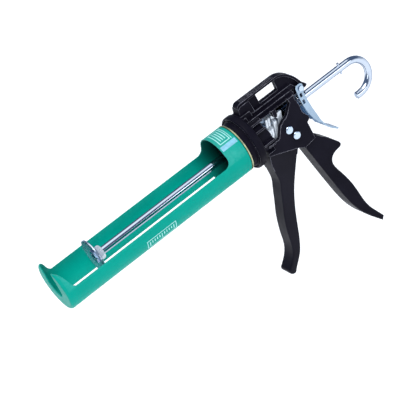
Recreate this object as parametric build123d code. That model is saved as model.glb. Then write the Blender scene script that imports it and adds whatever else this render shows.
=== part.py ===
from build123d import *
import math
import os

# ---------------------------------------------------------------- dimensions
# Frame: +X runs forward along the thrust rod to the nozzle end, +Z is up,
# +Y is the gun's left side. The origin lies on the rod axis in the plane
# where the cradle meets the swivel washer.

# cradle
CRADLE_R = 27.2            # outer radius of the trough
SHEET = 1.0                # sheet thickness
CRADLE_L = 233.3           # rear face to front face
COLLAR_L = 22.9            # closed ring at the rear
RAIL_TOP = 3.0             # height of the side rails above the axis
SLOT_HALF = 37.5           # half angle of the long slot underneath
SLOT_X0 = 27.5
SLOT_X1 = 217.0
NOZZLE_R = 12.0            # U slot in the front plate
EAR_Z = 21.5               # height of the front ears
BACK_PLATE_T = 2.5

# body casting
SPIGOT_R = 12.0            # hub spigot that the cradle turns on
FLANGE_R = 31.0
FLANGE_X0 = -8.4           # front face of the flange
BOSS_R = 26.2              # boss between the flange and the washer
WALL_X0, WALL_X1 = -31.0, -72.0   # mechanism window, front and rear
HOUSING_Y = 15.0           # half width of the housing
CHEEK_T = 4.5
STEP1_Y, STEP2_Y = 11.0, 6.2   # half widths of the roof's two steps
PILLAR_Y = 6.0              # half width of the loop's front pillar
HUB_R, RIB_R = 22.4, 26.6
SPRING_BORE_R = 9.4
TRIG_SLOT_Y = 9.6          # half width of the trigger slot
LOOP_Y = 4.5               # half width of the loop's band
LOOP_WEB = 2.6             # half thickness of the loop's web
HANDLE_Y = 11.0

# rod and piston
ROD_R = 4.0
ROD_FRONT = 184.6
HOOK_R = 20.0              # centreline radius of the hook
HOOK_X = -157.0            # where the straight part ends
HOOK_TAIL = 5.0
PISTON_R = 19.5
PISTON_X = 180.6           # rim plane of the piston plate
ROD_GUIDE_CLEAR = 0.05
TURN_CLEAR = 0.05

# trigger
PIVOT_X, PIVOT_Z = -62.0, -23.0   # trigger pivot
PIN_R = 3.5
STOP_X, STOP_Z = -56.5, -12.5     # trigger stop pin
TRIG_Y = 9.0               # half width of the trigger
ARM_Y0, ARM_Y1 = 6.0, 9.0  # fork arms beside the rod
NOSE_X, NOSE_Z, NOSE_R = -55.0, 5.5, 3.0

# drive plates
PLATE_TILT = 13.0          # the plates lean back at the top
PLATES = (("drive_plate_front", -38.4, 3.1, 11.2, -1.0, -15.4),   # front face on the axis, thickness,
          ("drive_plate_middle", -41.62, 3.0, 11.4, -1.0, -16.0),  # top, shoulder and foot
          ("drive_plate_rear", -45.9, 4.1, 11.6, 4.6, -17.8))

# release lever
LEVER_PIVOT_X, LEVER_PIVOT_Z = -91.0, 14.6
LEVER_PIN_R = 1.75
LEVER_Y0, LEVER_Y1 = 6.9, 8.6     # flanges of the channel

os.makedirs("parts", exist_ok=True)
NODES = {}


def V(x, y, z):
    return Vector(x, y, z)


def prism(pts, y0, y1):
    """Straight-sided plate: an outline in XZ carried from y0 to y1."""
    w = Wire.make_polygon([V(x, y0, z) for x, z in pts], close=True)
    return Solid.extrude(Face(w), V(0, y1 - y0, 0))


def spline_prism(runs, y0, y1):
    """Plate whose outline is a closed chain of runs; a run of two points is
    straight and a longer run is a smooth curve."""
    edges = []
    for run in runs:
        p = [V(x, y0, z) for x, z in run]
        edges.append(Edge.make_line(p[0], p[1]) if len(p) == 2 else Edge.make_spline(p))
    w = Wire(edges)
    return Solid.extrude(Face(w), V(0, y1 - y0, 0))


def cylx(r, x0, x1, y=0.0, z=0.0):
    return Solid.make_cylinder(r, abs(x1 - x0), Plane(origin=(min(x0, x1), y, z), z_dir=(1, 0, 0)))


def cyly(r, x, z, y0, y1):
    return Solid.make_cylinder(r, abs(y1 - y0), Plane(origin=(x, min(y0, y1), z), z_dir=(0, 1, 0)))


def box(x0, x1, y0, y1, z0, z1):
    return Pos(x0, y0, z0) * Solid.make_box(x1 - x0, y1 - y0, z1 - z0)


def hexx(af, x0, x1):
    r = af / 2 / math.cos(math.pi / 6)
    pts = [(min(x0, x1), r * math.cos(math.radians(60 * i)), r * math.sin(math.radians(60 * i))) for i in range(6)]
    w = Wire.make_polygon([V(*p) for p in pts], close=True)
    h = Solid.extrude(Face(w), V(abs(x1 - x0), 0, 0))
    # turned chamfer on both ends
    c = cylx(r * 1.0, x0, x1)
    c = chamfer_safe(c, c.edges().filter_by(GeomType.CIRCLE), 1.0)
    return (h & c)


def fillet_safe(s, edges, r):
    for k in (1.0, 0.75, 0.5):
        try:
            out = s.fillet(r * k, list(edges))
            if out.is_valid and out.volume > 0:
                return out
        except Exception:
            pass
    return s


def chamfer_safe(s, edges, r):
    try:
        out = s.chamfer(r, None, list(edges))
        if out.is_valid and out.volume > 0:
            return out
    except Exception:
        pass
    return s


def one(shape):
    """The single solid of a boolean result."""
    ss = shape.solids()
    ss = sorted(ss, key=lambda q: -q.volume)
    return ss[0]


def put(name, shape):
    NODES[name] = shape
    export_step(shape, "parts/" + name + ".step")


def wedge(a0, a1, x0, x1, r=60.0):
    """Sector about the rod axis between two angles from +Y towards +Z."""
    n = 8
    pts = [V(x0, 0, 0)]
    for i in range(n + 1):
        a = math.radians(a0 + (a1 - a0) * i / n)
        pts.append(V(x0, r * math.cos(a), r * math.sin(a)))
    return Solid.extrude(Face(Wire.make_polygon(pts, close=True)), V(x1 - x0, 0, 0))


# -------------------------------------------------------------------- cradle
outer = cylx(CRADLE_R, 0.25, CRADLE_L)
outer = fillet_safe(outer, outer.edges().filter_by(GeomType.CIRCLE).sort_by(Axis.X)[-1:], 3.0)
outer = fillet_safe(outer, outer.edges().filter_by(GeomType.CIRCLE).sort_by(Axis.X)[:1], 1.6)
inner = cylx(CRADLE_R - SHEET, 1.45, CRADLE_L - 1.2)
inner = fillet_safe(inner, inner.edges().filter_by(GeomType.CIRCLE).sort_by(Axis.X)[-1:], 2.0)
inner = fillet_safe(inner, inner.edges().filter_by(GeomType.CIRCLE).sort_by(Axis.X)[:1], 0.8)
cradle = outer - inner
cradle = cradle - cylx(20.0, -1, 3)                      # rear lip opening
# open top: side profile from the collar to the front ears
top = spline_prism([
    [(COLLAR_L, 40), (COLLAR_L, 12.0)],
    [(COLLAR_L, 12.0), (24.2, 6.2), (29.5, RAIL_TOP)],
    [(29.5, RAIL_TOP), (220.6, RAIL_TOP)],
    [(220.6, RAIL_TOP), (223.6, 6.4), (225.4, 11.5), (227.4, 16.8), (230.2, 20.6), (236.0, EAR_Z)],
    [(236.0, EAR_Z), (236.0, 40)],
    [(236.0, 40), (COLLAR_L, 40)],
], -40, 40)
cradle = cradle - top
# long slot underneath with round corners
slot = wedge(-90 - SLOT_HALF, -90 + SLOT_HALF, SLOT_X0, SLOT_X1)
ev = [e for e in slot.edges() if abs(abs(e.tangent_at(0.5).X)) < 0.2]
cradle = cradle - slot
# nozzle slot
ns = cylx(NOZZLE_R, CRADLE_L - 6, CRADLE_L + 2) + box(CRADLE_L - 6, CRADLE_L + 2, -NOZZLE_R, NOZZLE_R, 0, 40)
cradle = one(cradle - ns)
put("cradle", cradle)

# backing plate welded inside the rear lip
bp = cylx(CRADLE_R - SHEET - 0.02, 1.45, 1.45 + BACK_PLATE_T)
bp = bp - cylx(SPIGOT_R + TURN_CLEAR, 0, 10)
bp = fillet_safe(bp, bp.edges().filter_by(GeomType.CIRCLE).sort_by(Axis.X)[:1].sort_by(SortBy.RADIUS)[-1:], 0.85)
put("cradle_backing_plate", bp)

# ------------------------------------------------------------ swivel washers
put("swivel_washer", cylx(27.3, -1.2, 0.2) - cylx(SPIGOT_R + 0.1, -2, 1))
put("carriage_washer", cylx(18.5, 4.0, 5.0) - cylx(SPIGOT_R + 0.1, 3, 6))
nut = hexx(30.0, 5.05, 11.0) - cylx(SPIGOT_R, 4, 12)
put("carriage_nut", one(nut))

# ---------------------------------------------------------------------- body
# round front: flange cup, ribbed hub and spigot
fl = cylx(FLANGE_R, FLANGE_X0, -17.0)
fl = fillet_safe(fl, fl.edges().filter_by(GeomType.CIRCLE), 2.0)
fl = fl + cylx(BOSS_R, -1.25, FLANGE_X0 - 1.0)
hub = cylx(HUB_R, -15.0, -33.0)
spig = cylx(SPIGOT_R, -1.25, 12.0)
spig = chamfer_safe(spig, spig.edges().filter_by(GeomType.CIRCLE).sort_by(Axis.X)[-1:], 0.8)
body = fl + hub + spig
# ribs that run back along the hub, with pockets between them
for a in (46, 28, -9, 134, 152, 189):
    body = body + (Rot(a - 90, 0, 0) * box(-33.0, -15.0, -1.0, 1.0, 18.0, RIB_R))
for a in (-20, -50, 200, 230):
    body = body + (Rot(a - 90, 0, 0) * box(-33.0, -24.0, -1.0, 1.0, 18.0, RIB_R))
# housing around the mechanism: two cheeks under a stepped roof
hp = [(-30, 17.6), (-27.0, 8.0), (-24.0, 4.0), (-24.0, -24.0), (-37.0, -28.8), (-57.0, -36.6), (-66.0, -42.0),
      (-80.5, -40.0), (-80.0, -26.0), (-79.5, -19.0), (-84.0, -16.2), (-83.5, -13.0), (-78.8, -5.5), (-78.4, 5.0),
      (-76.5, 13.0), (-77.5, 17.6)]
body = body + prism(hp, -HOUSING_Y, HOUSING_Y)
body = body + prism([(-18.0, 17.0), (-18.0, 21.5), (-79.0, 21.5), (-80.5, 17.0), (-76.0, 12.0), (-30.0, 12.0)], -STEP1_Y, STEP1_Y)
body = body + prism([(-17.0, 18.0), (-17.0, 25.4), (-36.0, 24.4), (-84.0, 24.4), (-88.0, 18.0)], -STEP2_Y, STEP2_Y)
# front pillar of the loop with its two shelves
body = body + prism([(-15.0, 18.0), (-17.6, 29.0), (-18.1, 32.8), (-19.0, 36.6), (-21.6, 38.6), (-33.4, 38.6), (-35.6, 20.0)], -PILLAR_Y, PILLAR_Y)
body = body + prism([(-14.0, 18.0), (-14.0, 29.6), (-28.6, 29.6), (-30.4, 18.0)], -8.0, 8.0)
body = body + prism([(-14.0, 18.0), (-14.0, 27.4), (-20.6, 27.4), (-22.4, 18.0)], -10.6, 10.6)
# top loop: a thin upright web under a wide band
band_out = [
    [(-19.0, 22.0), (-19.2, 36.0)],
    [(-19.2, 36.0), (-20.4, 39.8), (-24.0, 41.2)],
    [(-24.0, 41.2), (-70.0, 41.2)],
    [(-70.0, 41.2), (-78.4, 39.6), (-86.0, 34.8), (-92.6, 26.8), (-96.8, 18.4)],
    [(-96.8, 18.4), (-100.0, 14.6)],
    [(-100.0, 14.6), (-101.4, 12.0), (-99.2, 10.3)],
    [(-99.2, 10.3), (-80.0, 10.3)],
    [(-80.0, 10.3), (-19.0, 22.0)],
]
band_in = [
    [(-21.4, 22.0), (-21.6, 35.6)],
    [(-21.6, 35.6), (-22.4, 38.0), (-24.6, 38.9)],
    [(-24.6, 38.9), (-69.6, 38.9)],
    [(-69.6, 38.9), (-77.2, 37.3), (-84.0, 32.9), (-90.0, 25.6), (-93.6, 18.4)],
    [(-93.6, 18.4), (-80.0, 14.0)],
    [(-80.0, 14.0), (-21.4, 22.0)],
]
loop_solid = spline_prism(band_out, -LOOP_Y, LOOP_Y)
for s_ in (1, -1):
    y0, y1 = (LOOP_WEB, LOOP_Y + 1) if s_ > 0 else (-LOOP_Y - 1, -LOOP_WEB)
    loop_solid = loop_solid - spline_prism(band_in, y0, y1)
win = prism([(-44.2, 38.9), (-45.2, 26.2), (-69.2, 26.2), (-69.4, 38.9)], -20, 20)
loop_solid = loop_solid - win
for gy in (-2.2, 0.0, 2.2):
    loop_solid = loop_solid - box(-70.0, -26.0, gy - 0.45, gy + 0.45, 40.6, 43.0)
body = body + loop_solid
# mechanism window through both cheeks, with a lug that hangs into it
body = body - prism([(-29.4, 17.45), (-29.7, 15.1), (-30.8, 10.5), (-32.4, 5.5), (-33.9, -2.6), (-34.3, -8.7), (-36.5, -14.0),
                     (-40.9, -14.8), (-43.6, -13.6), (-47.4, -7.3), (-50.3, -2.9), (-55.1, 0.0), (-59.1, 1.0),
                     (-62.5, 3.7), (-65.8, 7.8), (-70.1, 12.3), (-69.2, 17.45), (-52.2, 17.45), (-51.8, 10.2),
                     (-50.6, 8.6), (-48.6, 8.6), (-47.4, 10.2), (-47.0, 17.45)], -30, 30)
# cavity between the cheeks for plates, fork and springs
body = body - prism([(-28.0, 17.45), (-28.0, 8.0), (-23.4, -4.0), (-23.4, -24.0), (-31.0, -27.5), (-72.5, -27.5), (-72.5, 13.5), (-71.0, 17.45)],
                    -HOUSING_Y + CHEEK_T, HOUSING_Y - CHEEK_T)
body = body - cylx(SPRING_BORE_R, -14.0, -40.0)          # drive spring bore in the hub
# fixed handle with its horn
handle = spline_prism([
    [(-65.0, -34.0), (-68.2, -46.0), (-71.0, -57.4), (-75.5, -77.0), (-80.1, -97.0), (-84.9, -117.0), (-90.1, -136.0),
     (-95.5, -150.0), (-103.0, -163.4), (-111.0, -174.2), (-118.0, -183.0)],
    [(-118.0, -183.0), (-121.2, -178.4)],
    [(-121.2, -178.4), (-116.6, -169.8), (-111.2, -159.6), (-107.4, -149.0), (-105.2, -138.0), (-103.2, -126.0),
     (-99.8, -112.0), (-95.2, -99.0), (-91.4, -89.0), (-90.2, -81.0), (-93.6, -74.8), (-99.6, -72.2), (-105.0, -71.4)],
    [(-105.0, -71.4), (-107.6, -69.2), (-106.4, -65.0)],
    [(-106.4, -65.0), (-101.9, -59.5), (-96.0, -52.6), (-90.0, -46.8), (-85.4, -40.6), (-81.0, -31.0)],
    [(-81.0, -31.0), (-65.0, -34.0)],
], -HANDLE_Y, HANDLE_Y)
for span, rr in ((lambda e: e.length > 100 or e.length < 7, 4.0), (lambda e: e.length < 60, 2.0)):
    he = [e for e in handle.edges() if abs(abs(e.center().Y) - HANDLE_Y) < 0.01 and e.center().Z < -36.0 and span(e)]
    handle = fillet_safe(handle, he, rr)
body = body + handle
# slot for the trigger between the cheeks and into the top of the handle
body = body - prism([(-22.0, -20.0), (-22.0, -50.0), (-64.5, -50.0), (-69.4, -46.0), (-71.4, -36.0), (-72.5, -24.0),
                     (-72.5, -16.0), (-60.0, -16.0)], -TRIG_SLOT_Y, TRIG_SLOT_Y)
# hub bore for the front bush, rear bore for the brake spring
body = body - cylx(6.5, -14.5, 13.0)
body = body - cylx(9.0, -74.6, -104.0)
body = body - cylx(6.0, -70.0, -76.0)
# groove in the face of the flange
body = body - (cylx(28.9, FLANGE_X0 + 1.0, FLANGE_X0 - 1.6) - cylx(27.3, 0, -20.0))
# pin bores
for (px, pz) in ((PIVOT_X, PIVOT_Z), (STOP_X, STOP_Z)):
    body = body - cyly(PIN_R, px, pz, -30, 30)
body = body - cyly(LEVER_PIN_R, LEVER_PIVOT_X, LEVER_PIVOT_Z, -30, 30)
body = one(body)
print("body", body.is_valid, body.volume)
put("body_casting", body)

# front rod bush pressed in the spigot
bush = cylx(6.5, -13.9, 11.0) - cylx(ROD_R + ROD_GUIDE_CLEAR, -20, 15)
put("front_rod_bush", bush)

# rear guide: a flange against the rear wall of the cavity and a short barrel
rg = box(-72.45, -70.2, -10.3, 10.3, -9.0, 12.5)
rg = fillet_safe(rg, [e for e in rg.edges() if abs(e.tangent_at(0.5).X) > 0.9], 2.0)
rg = rg + cylx(5.95, -72.0, -76.0)
rg = rg - cylx(ROD_R + ROD_GUIDE_CLEAR, -80, -50)
put("rear_guide_plate", one(rg))

# ------------------------------------------------------------------ trigger
trig = spline_prism([
    [(-30.0, -25.5), (-27.0, -30.5), (-25.4, -38.0), (-25.6, -46.0), (-26.1, -54.0), (-25.8, -61.3), (-23.1, -70.0),
     (-18.8, -83.1), (-14.3, -96.2), (-11.7, -105.4), (-10.0, -113.5), (-8.4, -123.6), (-6.9, -135.1), (-3.2, -145.0),
     (2.4, -152.4), (7.6, -157.6)],
    [(7.6, -157.6), (7.4, -162.4), (3.0, -164.6), (-0.6, -161.6)],
    [(-0.6, -161.6), (-5.4, -156.0), (-11.6, -148.6), (-16.6, -139.0), (-20.7, -127.3), (-24.8, -113.2), (-29.6, -98.0),
     (-35.8, -82.4), (-43.7, -67.5), (-52.2, -53.7), (-58.9, -43.0), (-64.5, -34.5), (-68.8, -27.6)],
    [(-68.8, -27.6), (-69.8, -21.8), (-66.5, -16.8), (-62.0, -16.2)],
    [(-62.0, -16.2), (-57.0, -18.6), (-51.5, -18.6)],
    [(-51.5, -18.6), (-46.0, -20.5), (-38.0, -22.5), (-30.0, -25.5)],
], -TRIG_Y, TRIG_Y)
te = [e for e in trig.edges() if abs(abs(e.center().Y) - TRIG_Y) < 0.01 and e.center().Z < -60.0]
grip = fillet_safe(trig, te, 3.0) & box(-90, 30, -20, 20, -180, -46)
trig = one((trig & box(-90, 30, -20, 20, -46, 10)) + grip)
# hollow back
hb = spline_prism([
    [(-29.0, -76.0), (-23.6, -92.0), (-19.0, -110.0), (-15.6, -126.0), (-13.0, -136.0)],
    [(-13.0, -136.0), (-30.0, -140.0)],
    [(-30.0, -140.0), (-60.0, -76.0)],
    [(-60.0, -76.0), (-29.0, -76.0)],
], -TRIG_Y + 3.2, TRIG_Y - 3.2)
trig = trig - hb
# plated fork let into the trigger: its arms rise each side of the rod and
# carry the round noses that push the drive plates
arm = prism([(-47.6, -27.0), (-48.0, -19.0), (-49.0, -12.5), (-51.4, -4.0), (-54.0, 3.0), (-56.0, 8.3), (-57.6, 9.4),
             (-60.4, 8.2), (-57.6, -3.5), (-56.4, -7.6), (-53.6, -9.2), (-52.6, -12.5), (-53.4, -16.2), (-54.8, -21.0),
             (-57.0, -27.0)], ARM_Y0, ARM_Y1)
arm = arm + cyly(NOSE_R, NOSE_X, NOSE_Z, ARM_Y0, ARM_Y1)
fork = arm + arm.mirror(Plane.XZ) + box(-57.0, -47.6, -ARM_Y0, ARM_Y0, -27.0, -24.0)
fork = one(fork)
put("trigger_fork", fork)
trig = trig - fork
trig = trig - cyly(PIN_R + 0.05, PIVOT_X, PIVOT_Z, -30, 30)
trig = one(trig)
put("trigger", trig)


def rivet(x, z, head_r):
    p = cyly(PIN_R, x, z, -HOUSING_Y - 0.4, HOUSING_Y + 0.4)
    for s in (1, -1):
        h = cyly(head_r, x, z, s * (HOUSING_Y + 0.05), s * (HOUSING_Y + 2.4))
        h = fillet_safe(h, [e for e in h.edges() if e.geom_type == GeomType.CIRCLE and abs(e.center().Y) > HOUSING_Y + 1.0], 1.9)
        p = p + h
    return one(p)


put("trigger_pivot_rivet", rivet(PIVOT_X, PIVOT_Z, 4.6))
put("trigger_stop_rivet", rivet(STOP_X, STOP_Z, 4.6))

# ------------------------------------------------------------- drive plates
tilt = math.radians(PLATE_TILT)
nrm = V(math.cos(tilt), 0, math.sin(tilt))
for nm, xf, t, top_w, sh, foot in PLATES:
    o = [(-10.0, foot + 3.0), (-7.0, foot), (7.0, foot), (10.0, foot + 3.0), (10.0, sh - 1.2), (8.8, sh), (6.6, sh + 1.2),
         (6.6, top_w - 2.6), (4.0, top_w), (-4.0, top_w), (-6.6, top_w - 2.6), (-6.6, sh + 1.2), (-8.8, sh), (-10.0, sh - 1.2)]
    w = Wire.make_polygon([V(xf - math.sin(tilt) * b_, a_, math.cos(tilt) * b_) for a_, b_ in o], close=True)
    pl = Solid.extrude(Face(w), nrm * (-t))
    pl = chamfer_safe(pl, [e for e in pl.edges() if abs(e.tangent_at(0.5).cross(nrm).length) > 0.9], 0.35)
    pl = pl - cylx(ROD_R + 0.06, xf - 12, xf + 8)
    put(nm, one(pl))
put("drive_spring_washer", cylx(8.6, -36.4, -35.2) - cylx(ROD_R + 0.3, -40, -30))


# -------------------------------------------------------------------- springs
def coil(x0, x1, r, wire, turns):
    """Compression spring about the rod axis between two end planes."""
    pitch = (x1 - x0 - wire) / turns
    h = Edge.make_helix(pitch, x1 - x0 - wire, r)
    sec = Plane(origin=h.position_at(0), z_dir=h.tangent_at(0))
    prof = Wire.make_circle(wire / 2, sec)
    s = Solid.sweep(prof, path=Wire([h]), is_frenet=True)
    return Plane(origin=(x0 + wire / 2, 0, 0), x_dir=(0, 1, 0), z_dir=(1, 0, 0)).location * s


put("drive_spring", coil(-35.15, -14.05, 6.8, 1.5, 5.0))
put("brake_spring", coil(-89.9, -76.2, 6.0, 1.3, 3.5))

# ---------------------------------------------------------------- thrust rod
rod = cylx(ROD_R, HOOK_X, ROD_FRONT)
rod = chamfer_safe(rod, rod.edges().filter_by(GeomType.CIRCLE).sort_by(Axis.X)[-1:], 0.6)
arc = Edge.make_three_point_arc(V(HOOK_X, 0, 0), V(HOOK_X - HOOK_R, 0, -HOOK_R), V(HOOK_X, 0, -2 * HOOK_R))
tail = Edge.make_line(V(HOOK_X, 0, -2 * HOOK_R), V(HOOK_X + HOOK_TAIL, 0, -2 * HOOK_R))
prof = Wire.make_circle(ROD_R, Plane(origin=(HOOK_X, 0, 0), z_dir=(-1, 0, 0)))
hook = Solid.sweep(prof, path=Wire([arc]))
rod = rod + hook
tl = cylx(ROD_R, HOOK_X, HOOK_X + HOOK_TAIL, 0, -2 * HOOK_R)
tl = chamfer_safe(tl, tl.edges().filter_by(GeomType.CIRCLE).sort_by(Axis.X)[-1:], 0.8)
rod = one(rod + tl)
rod = rod - Solid.make_cylinder(1.25, 20, Plane(origin=(-146.0, 0, -10), z_dir=(0, 0, 1)))
put("thrust_rod", one(rod))
put("rod_stop_pin", Solid.make_cylinder(1.25, 13.0, Plane(origin=(-146.0, 0, -6.5), z_dir=(0, 0, 1))))

# ------------------------------------------------------------------- piston
pp = [(PISTON_X + 2.6, ROD_R + 0.06), (PISTON_X - 3.2, ROD_R + 0.06)]
prof_pts = [(PISTON_X - 0.4, ROD_R + 0.06), (PISTON_X - 0.4, 9.0), (PISTON_X + 0.6, 13.2), (PISTON_X + 1.7, 17.2),
            (PISTON_X + 2.6, PISTON_R), (PISTON_X + 4.0, PISTON_R), (PISTON_X + 3.3, 17.2), (PISTON_X + 2.1, 13.2),
            (PISTON_X + 1.1, 9.0), (PISTON_X + 1.1, ROD_R + 0.06)]
pw = Wire.make_polygon([V(x, 0, r) for x, r in prof_pts], close=True)
piston = Solid.revolve(Face(pw), 360.0, Axis.X)
put("piston_plate", piston)
put("piston_rear_nut", one(hexx(13.0, PISTON_X - 6.2, PISTON_X - 0.45) - cylx(ROD_R, 100, 200)))
put("piston_front_nut", one(hexx(13.0, PISTON_X + 1.15, PISTON_X + 4.0) - cylx(ROD_R, 100, 200)))

# ------------------------------------------------------------ release lever
rear = [(-92.4, 9.4), (-93.0, -1.0), (-94.2, -10.0), (-96.0, -20.0), (-98.2, -31.0), (-100.8, -38.0),
        (-106.0, -44.6), (-113.6, -51.8)]
T = 1.8
front = [(-112.3, -53.1), (-104.7, -46.0), (-99.2, -38.9), (-96.4, -31.5), (-94.2, -20.3), (-92.4, -10.2),
         (-91.2, -1.1), (-90.6, 9.4)]
lv = prism(rear + front, -LEVER_Y1, LEVER_Y1)
fp = [(-94.6, 18.4), (-92.4, 20.2), (-87.0, 20.2), (-85.2, 18.0), (-85.0, 8.0), (-85.8, -4.0), (-87.6, -14.0),
      (-91.0, -24.0), (-95.6, -33.0), (-97.4, -33.0), (-95.0, -20.0), (-93.2, -10.0), (-92.0, -1.0), (-91.6, 8.0),
      (-94.6, 12.0)]
flg = prism(fp, LEVER_Y0, LEVER_Y1)
# pressed slots in the flange
for z0, z1 in ((5.5, 10.0), (-3.0, 2.0)):
    flg = flg - prism([(-89.8, z0), (-89.8, z1), (-87.0, z1), (-87.0, z0)], 0, 20)
lv = lv + flg + flg.mirror(Plane.XZ)
lv = lv - cylx(5.3, -100, -80)
lv = lv - cyly(LEVER_PIN_R + 0.05, LEVER_PIVOT_X, LEVER_PIVOT_Z, -20, 20)
lv = lv - cyly(2.2, -94.0, -26.0, -1, 1)
lv = one(lv)
put("release_lever", lv)
lp = cyly(LEVER_PIN_R, LEVER_PIVOT_X, LEVER_PIVOT_Z, -LEVER_Y1 - 0.3, LEVER_Y1 + 0.3)
for s_ in (1, -1):
    h = cyly(2.9, LEVER_PIVOT_X, LEVER_PIVOT_Z, s_ * (LEVER_Y1 + 0.1), s_ * (LEVER_Y1 + 1.3))
    lp = lp + h
put("lever_pivot_pin", one(lp))

for k, s in NODES.items():
    if s is None:
        print("MISSING", k)
        continue
    print(k, "vol %.0f" % s.volume, "valid", s.is_valid, "solids", len(s.solids()))
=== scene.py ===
import math
import bpy
import bmesh
from mathutils import Vector, Matrix


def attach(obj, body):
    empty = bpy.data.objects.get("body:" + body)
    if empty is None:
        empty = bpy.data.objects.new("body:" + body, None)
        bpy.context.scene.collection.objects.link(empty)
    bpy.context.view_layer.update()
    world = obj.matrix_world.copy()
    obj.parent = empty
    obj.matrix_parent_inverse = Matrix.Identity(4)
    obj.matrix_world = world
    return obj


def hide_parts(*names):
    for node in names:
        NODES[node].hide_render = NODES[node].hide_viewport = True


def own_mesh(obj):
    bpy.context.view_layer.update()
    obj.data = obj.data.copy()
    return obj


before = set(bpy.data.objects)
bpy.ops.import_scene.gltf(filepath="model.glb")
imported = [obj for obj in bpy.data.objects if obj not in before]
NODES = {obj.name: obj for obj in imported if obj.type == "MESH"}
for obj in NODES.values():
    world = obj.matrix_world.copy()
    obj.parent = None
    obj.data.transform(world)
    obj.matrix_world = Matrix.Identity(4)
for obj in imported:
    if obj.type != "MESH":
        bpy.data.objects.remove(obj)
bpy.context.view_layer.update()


# ------------------------------------------------------------------ helpers
def new_mat(name):
    m = bpy.data.materials.new(name)
    m.use_nodes = True
    nt = m.node_tree
    nt.nodes.clear()
    out = nt.nodes.new("ShaderNodeOutputMaterial")
    b = nt.nodes.new("ShaderNodeBsdfPrincipled")
    nt.links.new(b.outputs["BSDF"], out.inputs["Surface"])
    return m, nt, b


def node(nt, kind, **kw):
    n = nt.nodes.new(kind)
    for k, v in kw.items():
        if k in n.inputs:
            n.inputs[k].default_value = v
        else:
            setattr(n, k, v)
    return n


def coords(nt):
    return nt.nodes.new("ShaderNodeTexCoord").outputs["Object"]


def noise(nt, vec, scale, detail=3.0, rough=0.55, stretch=None):
    if stretch:
        mp = nt.nodes.new("ShaderNodeMapping")
        mp.inputs["Scale"].default_value = stretch
        nt.links.new(vec, mp.inputs["Vector"])
        vec = mp.outputs["Vector"]
    n = nt.nodes.new("ShaderNodeTexNoise")
    n.inputs["Scale"].default_value = scale
    n.inputs["Detail"].default_value = detail
    n.inputs["Roughness"].default_value = rough
    nt.links.new(vec, n.inputs["Vector"])
    return n.outputs["Fac"]


def ramp(nt, fac, stops):
    r = nt.nodes.new("ShaderNodeValToRGB")
    cr = r.color_ramp
    while len(cr.elements) > 1:
        cr.elements.remove(cr.elements[-1])
    first = True
    for pos, col in stops:
        c = col if isinstance(col, (tuple, list)) else (col, col, col)
        if first:
            e = cr.elements[0]
            e.position = pos
            first = False
        else:
            e = cr.elements.new(pos)
        e.color = (c[0], c[1], c[2], 1.0)
    nt.links.new(fac, r.inputs["Fac"])
    return r.outputs["Color"]


def math_n(nt, op, a, b=None, clamp=False):
    n = nt.nodes.new("ShaderNodeMath")
    n.operation = op
    n.use_clamp = clamp
    for i, v in enumerate((a, b)):
        if v is None:
            continue
        if isinstance(v, (int, float)):
            n.inputs[i].default_value = v
        else:
            nt.links.new(v, n.inputs[i])
    return n.outputs[0]


def mix_col(nt, fac, a, b, blend="MIX"):
    n = nt.nodes.new("ShaderNodeMix")
    n.data_type = "RGBA"
    n.blend_type = blend
    for sock, v in ((n.inputs[0], fac), (n.inputs[6], a), (n.inputs[7], b)):
        if isinstance(v, (int, float)):
            sock.default_value = v
        elif isinstance(v, (tuple, list)):
            sock.default_value = (v[0], v[1], v[2], 1.0)
        else:
            nt.links.new(v, sock)
    return n.outputs[2]


def bump(nt, bsdf, height, strength=0.2, dist=0.0003, normal=None):
    b = nt.nodes.new("ShaderNodeBump")
    b.inputs["Strength"].default_value = strength
    b.inputs["Distance"].default_value = dist
    nt.links.new(height, b.inputs["Height"])
    if normal is not None:
        nt.links.new(normal, b.inputs["Normal"])
    nt.links.new(b.outputs["Normal"], bsdf.inputs["Normal"])
    return b.outputs["Normal"]


def bevel_normal(nt, radius):
    b = nt.nodes.new("ShaderNodeBevel")
    b.samples = 6
    b.inputs["Radius"].default_value = radius
    return b.outputs["Normal"]


def edge_mask(nt, lo=0.52, hi=0.60):
    g = nt.nodes.new("ShaderNodeNewGeometry")
    return ramp(nt, g.outputs["Pointiness"], [(lo, 0.0), (hi, 1.0)])


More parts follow.
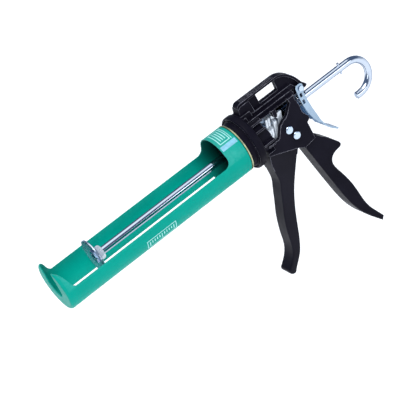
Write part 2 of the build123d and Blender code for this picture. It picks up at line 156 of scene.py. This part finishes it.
# ---------------------------------------------------------------- materials
def make_green():
    m, nt, b = new_mat("green_enamel")
    v = coords(nt)
    big = noise(nt, v, 18.0, 2.0)
    fine = noise(nt, v, 260.0, 3.0)
    col = ramp(nt, big, [(0.30, (0.000, 0.325, 0.248)), (0.70, (0.000, 0.378, 0.292))])
    # Lighter green along convex edges, broken up by fine noise.
    edge_lighten = math_n(nt, "MULTIPLY", edge_mask(nt, 0.515, 0.58), fine)
    col = mix_col(nt, math_n(nt, "MULTIPLY", edge_lighten, 0.55, True), col, (0.10, 0.50, 0.44))
    # Painted shade: inside the collar (radius under 26.6 mm) the green is mixed towards near-black, fully near its
    # closed end at small x and fading out by x = 40 mm, standing in for the shade inside the collar.
    sep = nt.nodes.new("ShaderNodeSeparateXYZ")
    nt.links.new(v, sep.inputs[0])
    rr = math_n(nt, "SQRT", math_n(nt, "ADD", math_n(nt, "MULTIPLY", sep.outputs["Y"], sep.outputs["Y"]),
                                   math_n(nt, "MULTIPLY", sep.outputs["Z"], sep.outputs["Z"])))
    shaded_collar_mask = math_n(nt, "LESS_THAN", rr, 0.0266)
    collar_shade_depth = ramp(nt, math_n(nt, "MULTIPLY", sep.outputs["X"], 20.0), [(0.12, 1.0), (0.46, 0.62), (0.80, 0.0)])
    col = mix_col(nt, math_n(nt, "MULTIPLY", shaded_collar_mask, collar_shade_depth), col, (0.000, 0.022, 0.020))
    nt.links.new(col, b.inputs["Base Color"])
    r = ramp(nt, noise(nt, v, 90.0, 4.0), [(0.3, 0.34), (0.7, 0.46)])
    nt.links.new(r, b.inputs["Roughness"])
    b.inputs["Specular IOR Level"].default_value = 0.05
    b.inputs["Coat Weight"].default_value = 0.02
    b.inputs["Coat Roughness"].default_value = 0.18
    h = math_n(nt, "ADD", noise(nt, v, 480.0, 2.0), math_n(nt, "MULTIPLY", noise(nt, v, 60.0, 2.0), 1.5))
    bump(nt, b, h, 0.10, 0.00015)
    return m


def make_black(name="black_powder_coat", spec=0.06):
    m, nt, b = new_mat(name)
    v = coords(nt)
    big = noise(nt, v, 25.0, 3.0)
    col = ramp(nt, big, [(0.3, (0.0045, 0.0040, 0.0085)), (0.7, (0.0085, 0.0078, 0.0150))])
    fine = noise(nt, v, 900.0, 3.0)
    # Painted highlight: convex edges, found from the bevel-bent normal and a short-range AO, are mixed towards light
    # grey and broken up by noise, standing in for the light caught on the casting's edges.
    g = nt.nodes.new("ShaderNodeNewGeometry")
    bn = nt.nodes.new("ShaderNodeBevel")
    bn.samples = 6
    bn.inputs["Radius"].default_value = 0.0009
    dot = nt.nodes.new("ShaderNodeVectorMath")
    dot.operation = "DOT_PRODUCT"
    nt.links.new(bn.outputs["Normal"], dot.inputs[0])
    nt.links.new(g.outputs["Normal"], dot.inputs[1])
    bent = ramp(nt, dot.outputs["Value"], [(0.90, 1.0), (0.985, 0.0)])
    ao = nt.nodes.new("ShaderNodeAmbientOcclusion")
    ao.samples = 6
    ao.only_local = True
    ao.inputs["Distance"].default_value = 0.0025
    convex = ramp(nt, ao.outputs["AO"], [(0.78, 0.0), (0.94, 1.0)])
    painted_edge_highlight = math_n(nt, "MULTIPLY", bent, convex)
    patchy = ramp(nt, noise(nt, v, 110.0, 3.0), [(0.36, 0.25), (0.62, 1.0)])
    col = mix_col(nt, math_n(nt, "MULTIPLY", math_n(nt, "MULTIPLY", painted_edge_highlight, patchy), 0.95, True), col, (0.36, 0.36, 0.42))
    nt.links.new(col, b.inputs["Base Color"])
    r = ramp(nt, noise(nt, v, 60.0, 4.0), [(0.3, 0.34), (0.7, 0.48)])
    nt.links.new(r, b.inputs["Roughness"])
    b.inputs["Specular IOR Level"].default_value = spec
    h = math_n(nt, "ADD", fine, math_n(nt, "MULTIPLY", noise(nt, v, 320.0, 2.0), 0.8))
    bump(nt, b, h, 0.12, 0.00020, bevel_normal(nt, 0.0008))
    return m


def make_zinc(name="zinc_plate", tint=(0.60, 0.72, 0.86), rough=(0.14, 0.26), brush=None, bev=0.0004, metal=1.0):
    m, nt, b = new_mat(name)
    v = coords(nt)
    b.inputs["Metallic"].default_value = metal
    big = noise(nt, v, 70.0, 4.0)
    dark = tuple(c * 0.86 for c in tint)
    col = ramp(nt, big, [(0.3, dark), (0.7, tint)])
    nt.links.new(col, b.inputs["Base Color"])
    r = ramp(nt, noise(nt, v, 240.0, 4.0, stretch=brush), [(0.3, rough[0]), (0.7, rough[1])])
    nt.links.new(r, b.inputs["Roughness"])
    b.inputs["Specular Tint"].default_value = (0.30, 0.36, 0.46, 1.0)
    h = noise(nt, v, 700.0, 3.0, stretch=brush)
    bump(nt, b, h, 0.10, 0.00012, bevel_normal(nt, bev))
    return m


def make_rod():
    m, nt, b = new_mat("bright_drawn_steel")
    v = coords(nt)
    b.inputs["Metallic"].default_value = 1.0
    big = noise(nt, v, 40.0, 4.0, stretch=(0.15, 1.0, 1.0))
    col = ramp(nt, big, [(0.3, (0.46, 0.53, 0.64)), (0.7, (0.60, 0.67, 0.77))])
    nt.links.new(col, b.inputs["Base Color"])
    b.inputs["Specular Tint"].default_value = (0.10, 0.14, 0.22, 1.0)
    r = ramp(nt, noise(nt, v, 900.0, 3.0, stretch=(0.02, 1.0, 1.0)), [(0.3, 0.07), (0.7, 0.15)])
    nt.links.new(r, b.inputs["Roughness"])
    h = noise(nt, v, 1400.0, 2.0, stretch=(0.01, 1.0, 1.0))
    bump(nt, b, h, 0.06, 0.00010)
    return m


def make_brass():
    m, nt, b = new_mat("dull_brass")
    v = coords(nt)
    b.inputs["Metallic"].default_value = 0.85
    big = noise(nt, v, 90.0, 4.0)
    col = ramp(nt, big, [(0.3, (0.36, 0.38, 0.20)), (0.7, (0.54, 0.56, 0.36))])
    nt.links.new(col, b.inputs["Base Color"])
    r = ramp(nt, noise(nt, v, 300.0, 3.0), [(0.3, 0.30), (0.7, 0.48)])
    nt.links.new(r, b.inputs["Roughness"])
    bump(nt, b, noise(nt, v, 900.0, 2.0), 0.12, 0.0001)
    return m


GREEN = make_green()
BLACK = make_black(spec=0.045)
BLACK_T = make_black("black_trigger_coat", 0.10)
ZINC = make_zinc()
ROD = make_rod()
BRASS = make_brass()
DARK = make_zinc("black_oxide", (0.055, 0.060, 0.068), (0.30, 0.46))
SPRING = make_zinc("spring_wire", (0.60, 0.63, 0.67), (0.18, 0.30), bev=0.0001)

# Painted light: a lightened copy of the zinc plate, brighter and only half metallic, so that the drive plates, trigger
# fork and rear nut given it read bright against the shade of the housing's cavity.
LIT_ZINC = make_zinc("zinc_painted_lit", (0.88, 0.94, 1.00), (0.18, 0.30), metal=0.45)
DISC = make_zinc("disc_zinc", (0.66, 0.77, 0.90), (0.12, 0.22), metal=0.85)
LEVER = make_zinc("lever_zinc", (0.34, 0.45, 0.57), (0.14, 0.24))
LOOK = {
    "drive_plate_front": LIT_ZINC, "drive_plate_middle": LIT_ZINC, "drive_plate_rear": LIT_ZINC, "trigger_fork": LIT_ZINC,
    "piston_plate": DISC, "piston_rear_nut": LIT_ZINC, "release_lever": LEVER,
    "cradle": GREEN, "cradle_backing_plate": GREEN,
    "swivel_washer": BRASS, "carriage_washer": DARK, "carriage_nut": DARK,
    "body_casting": BLACK, "trigger": BLACK_T,
    "thrust_rod": ROD, "rod_stop_pin": ROD,
    "drive_spring": SPRING, "brake_spring": SPRING,
}
for name, ob in NODES.items():
    mat = LOOK.get(name, ZINC)
    for i in range(max(1, len(ob.material_slots))):
        if len(ob.material_slots) == 0:
            ob.data.materials.append(mat)
        else:
            ob.material_slots[i].material = mat


# ------------------------------------------------------------------ springs
def coil_spring(name):
    """A copy of the spring's coil, fixed to the frame in place of the imported one."""
    ob = bpy.data.objects.new(name + "_coil", NODES[name].data.copy())
    bpy.context.scene.collection.objects.link(ob)
    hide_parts(name)
    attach(ob, "frame")
    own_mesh(ob)


coil_spring("drive_spring")
coil_spring("brake_spring")


# ------------------------------------------------------------ printed marks
def make_print(name, colour, rough=0.35):
    m, nt, b = new_mat(name)
    v = coords(nt)
    c2 = tuple(c * 0.82 for c in colour)
    nt.links.new(ramp(nt, noise(nt, v, 220.0, 3.0), [(0.35, c2), (0.6, colour)]), b.inputs["Base Color"])
    r = ramp(nt, noise(nt, v, 300.0, 2.0), [(0.3, rough), (0.7, rough + 0.15)])
    nt.links.new(r, b.inputs["Roughness"])
    b.inputs["Specular IOR Level"].default_value = 0.3
    bump(nt, b, noise(nt, v, 800.0, 2.0), 0.06, 0.0001)
    return m


def patch(bm, x0, x1, a0, a1, r0, r1):
    """A thin raised patch on the cradle's skin between two x and two angles."""
    n = max(1, int(abs(a1 - a0) / 2.0))
    rings = []
    for i in range(n + 1):
        a = math.radians(a0 + (a1 - a0) * i / n)
        rings.append([bm.verts.new((x / 1000.0, r * math.cos(a) / 1000.0, r * math.sin(a) / 1000.0))
                      for x, r in ((x0, r0), (x1, r0), (x1, r1), (x0, r1))])
    for p, q in zip(rings, rings[1:]):
        for k in range(4):
            bm.faces.new((p[k], p[(k + 1) % 4], q[(k + 1) % 4], q[k]))
    bm.faces.new(rings[0][::-1])
    bm.faces.new(rings[-1])


def patches(name, items, mat, body="cradle", r0=26.9, r1=27.28, slot="green_paint"):
    bm = bmesh.new()
    for x0, x1, a0, a1 in items:
        patch(bm, x0, x1, a0, a1, r0, r1)
    bmesh.ops.recalc_face_normals(bm, faces=bm.faces[:])
    me = bpy.data.meshes.new(name)
    bm.to_mesh(me)
    bm.free()
    me.materials.append(mat)
    ob = bpy.data.objects.new(name, me)
    bpy.context.scene.collection.objects.link(ob)
    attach(ob, body)
    return ob


PALE = make_print("pale_print", (0.40, 0.84, 0.80))
PALE_BLUE = make_print("pale_blue_print", (0.28, 0.62, 0.78))
# a plain framed block of bars on the collar
patches("collar_frame", [
    (6.4, 7.5, 56.0, 104.0), (18.2, 19.3, 56.0, 104.0), (7.5, 18.2, 56.0, 58.3), (7.5, 18.2, 101.7, 104.0),
    (4.5, 5.3, 55.0, 105.0)], PALE)
patches("collar_bars", [
    (9.4, 10.7, 63.0, 97.0), (12.2, 13.5, 63.0, 97.0), (15.0, 16.3, 63.0, 97.0)], PALE)
patches("collar_band", [(2.6, 21.6, 40.5, 52.0)], PALE_BLUE, r1=27.26)
# a plain measuring scale on the side of the trough
ticks = [(101.0, 138.0, -19.0, -17.0), (101.0, 138.0, -42.8, -41.0), (101.0, 101.9, -41.0, -19.0), (137.1, 138.0, -41.0, -19.0)]
for i in range(11):
    x = 104.5 + i * 3.0
    ticks.append((x - 0.55, x + 0.55, -37.0 if i % 5 == 0 else -31.0, -22.5))
patches("side_scale", ticks, PALE, r1=27.24)

# --------------------------------------------------------------- floor, light
FLOOR_Z = -0.42
me = bpy.data.meshes.new("studio_floor")
bm = bmesh.new()
bmesh.ops.create_grid(bm, x_segments=1, y_segments=1, size=6.0)
bm.to_mesh(me)
bm.free()
floor = bpy.data.objects.new("studio_floor", me)
floor.location = (0, 0, FLOOR_Z)
bpy.context.scene.collection.objects.link(floor)
fm, fnt, fb = new_mat("pale_floor")
fb.inputs["Base Color"].default_value = (0.93, 0.93, 0.93, 1)
fb.inputs["Roughness"].default_value = 0.9
fb.inputs["Specular IOR Level"].default_value = 0.1
fb.inputs["Emission Color"].default_value = (1, 1, 1, 1)
fb.inputs["Emission Strength"].default_value = 0.26
me.materials.append(fm)

w = bpy.data.worlds.new("studio")
w.use_nodes = True
bpy.context.scene.world = w
wn = w.node_tree
bg = wn.nodes["Background"]
sep = wn.nodes.new("ShaderNodeSeparateXYZ")
wn.links.new(wn.nodes.new("ShaderNodeTexCoord").outputs["Generated"], sep.inputs[0])
wn.links.new(ramp(wn, sep.outputs["Z"], [(0.00, (0.60, 0.64, 0.72)), (0.16, (0.42, 0.48, 0.58)), (0.30, (0.09, 0.13, 0.22)), (0.80, (0.12, 0.17, 0.27)), (0.88, (1.35, 1.38, 1.40))]), bg.inputs["Color"])
bg.inputs["Strength"].default_value = 1.0


def area(name, loc, target, size, power, size_y=None, color=(1, 1, 1)):
    l = bpy.data.lights.new(name, "AREA")
    l.energy = power
    l.size = size
    l.color = color
    if size_y:
        l.shape = "RECTANGLE"
        l.size_y = size_y
    o = bpy.data.objects.new(name, l)
    o.location = loc
    d = Vector(target) - Vector(loc)
    o.rotation_euler = d.to_track_quat("-Z", "Y").to_euler()
    bpy.context.scene.collection.objects.link(o)
    return o


MID = (0.05, 0.0, -0.03)
sun = bpy.data.lights.new("key_soft", "SUN")
sun.energy = 1.7
sun.angle = math.radians(36.0)
so = bpy.data.objects.new("key_soft", sun)
so.rotation_euler = (Vector((0, 0, 0)) - Vector((0.25, 0.45, 1.0))).to_track_quat("-Z", "Y").to_euler()
bpy.context.scene.collection.objects.link(so)
area("front_left", (1.25, 0.75, 0.35), MID, 0.5, 2.5, 0.7)
area("fill_left", (-0.6, 1.3, 0.30), MID, 0.6, 2.5, 0.35)
bpy.context.scene.view_settings.view_transform = "Standard"

# ------------------------------------------------------------------- camera
AZ, EL, DIST, TX, TZ, ROLL, FPX = 159.446, 30.743, 1.47467, 0.058948, -0.023080, -26.9345, 1460.51
a, e = math.radians(AZ), math.radians(EL)
d = Vector((math.sin(a) * math.cos(e), -math.cos(a) * math.cos(e), math.sin(e)))
target = Vector((TX, 0.0, TZ))
pos = target + d * DIST
fwd = -d
right = fwd.cross(Vector((0, 0, 1))).normalized()
up = right.cross(fwd)
r = math.radians(ROLL)
R2 = right * math.cos(r) + up * math.sin(r)
U2 = up * math.cos(r) - right * math.sin(r)
M = Matrix((R2, U2, -fwd)).transposed().to_4x4()
M.translation = pos
cam = bpy.data.cameras.new("camera")
cam.sensor_fit = "HORIZONTAL"
cam.sensor_width = 36.0
cam.lens = FPX * 36.0 / 400.0
cam.clip_start = 0.05
cam.clip_end = 30.0
co = bpy.data.objects.new("camera", cam)
co.matrix_world = M
bpy.context.scene.collection.objects.link(co)
bpy.context.scene.camera = co
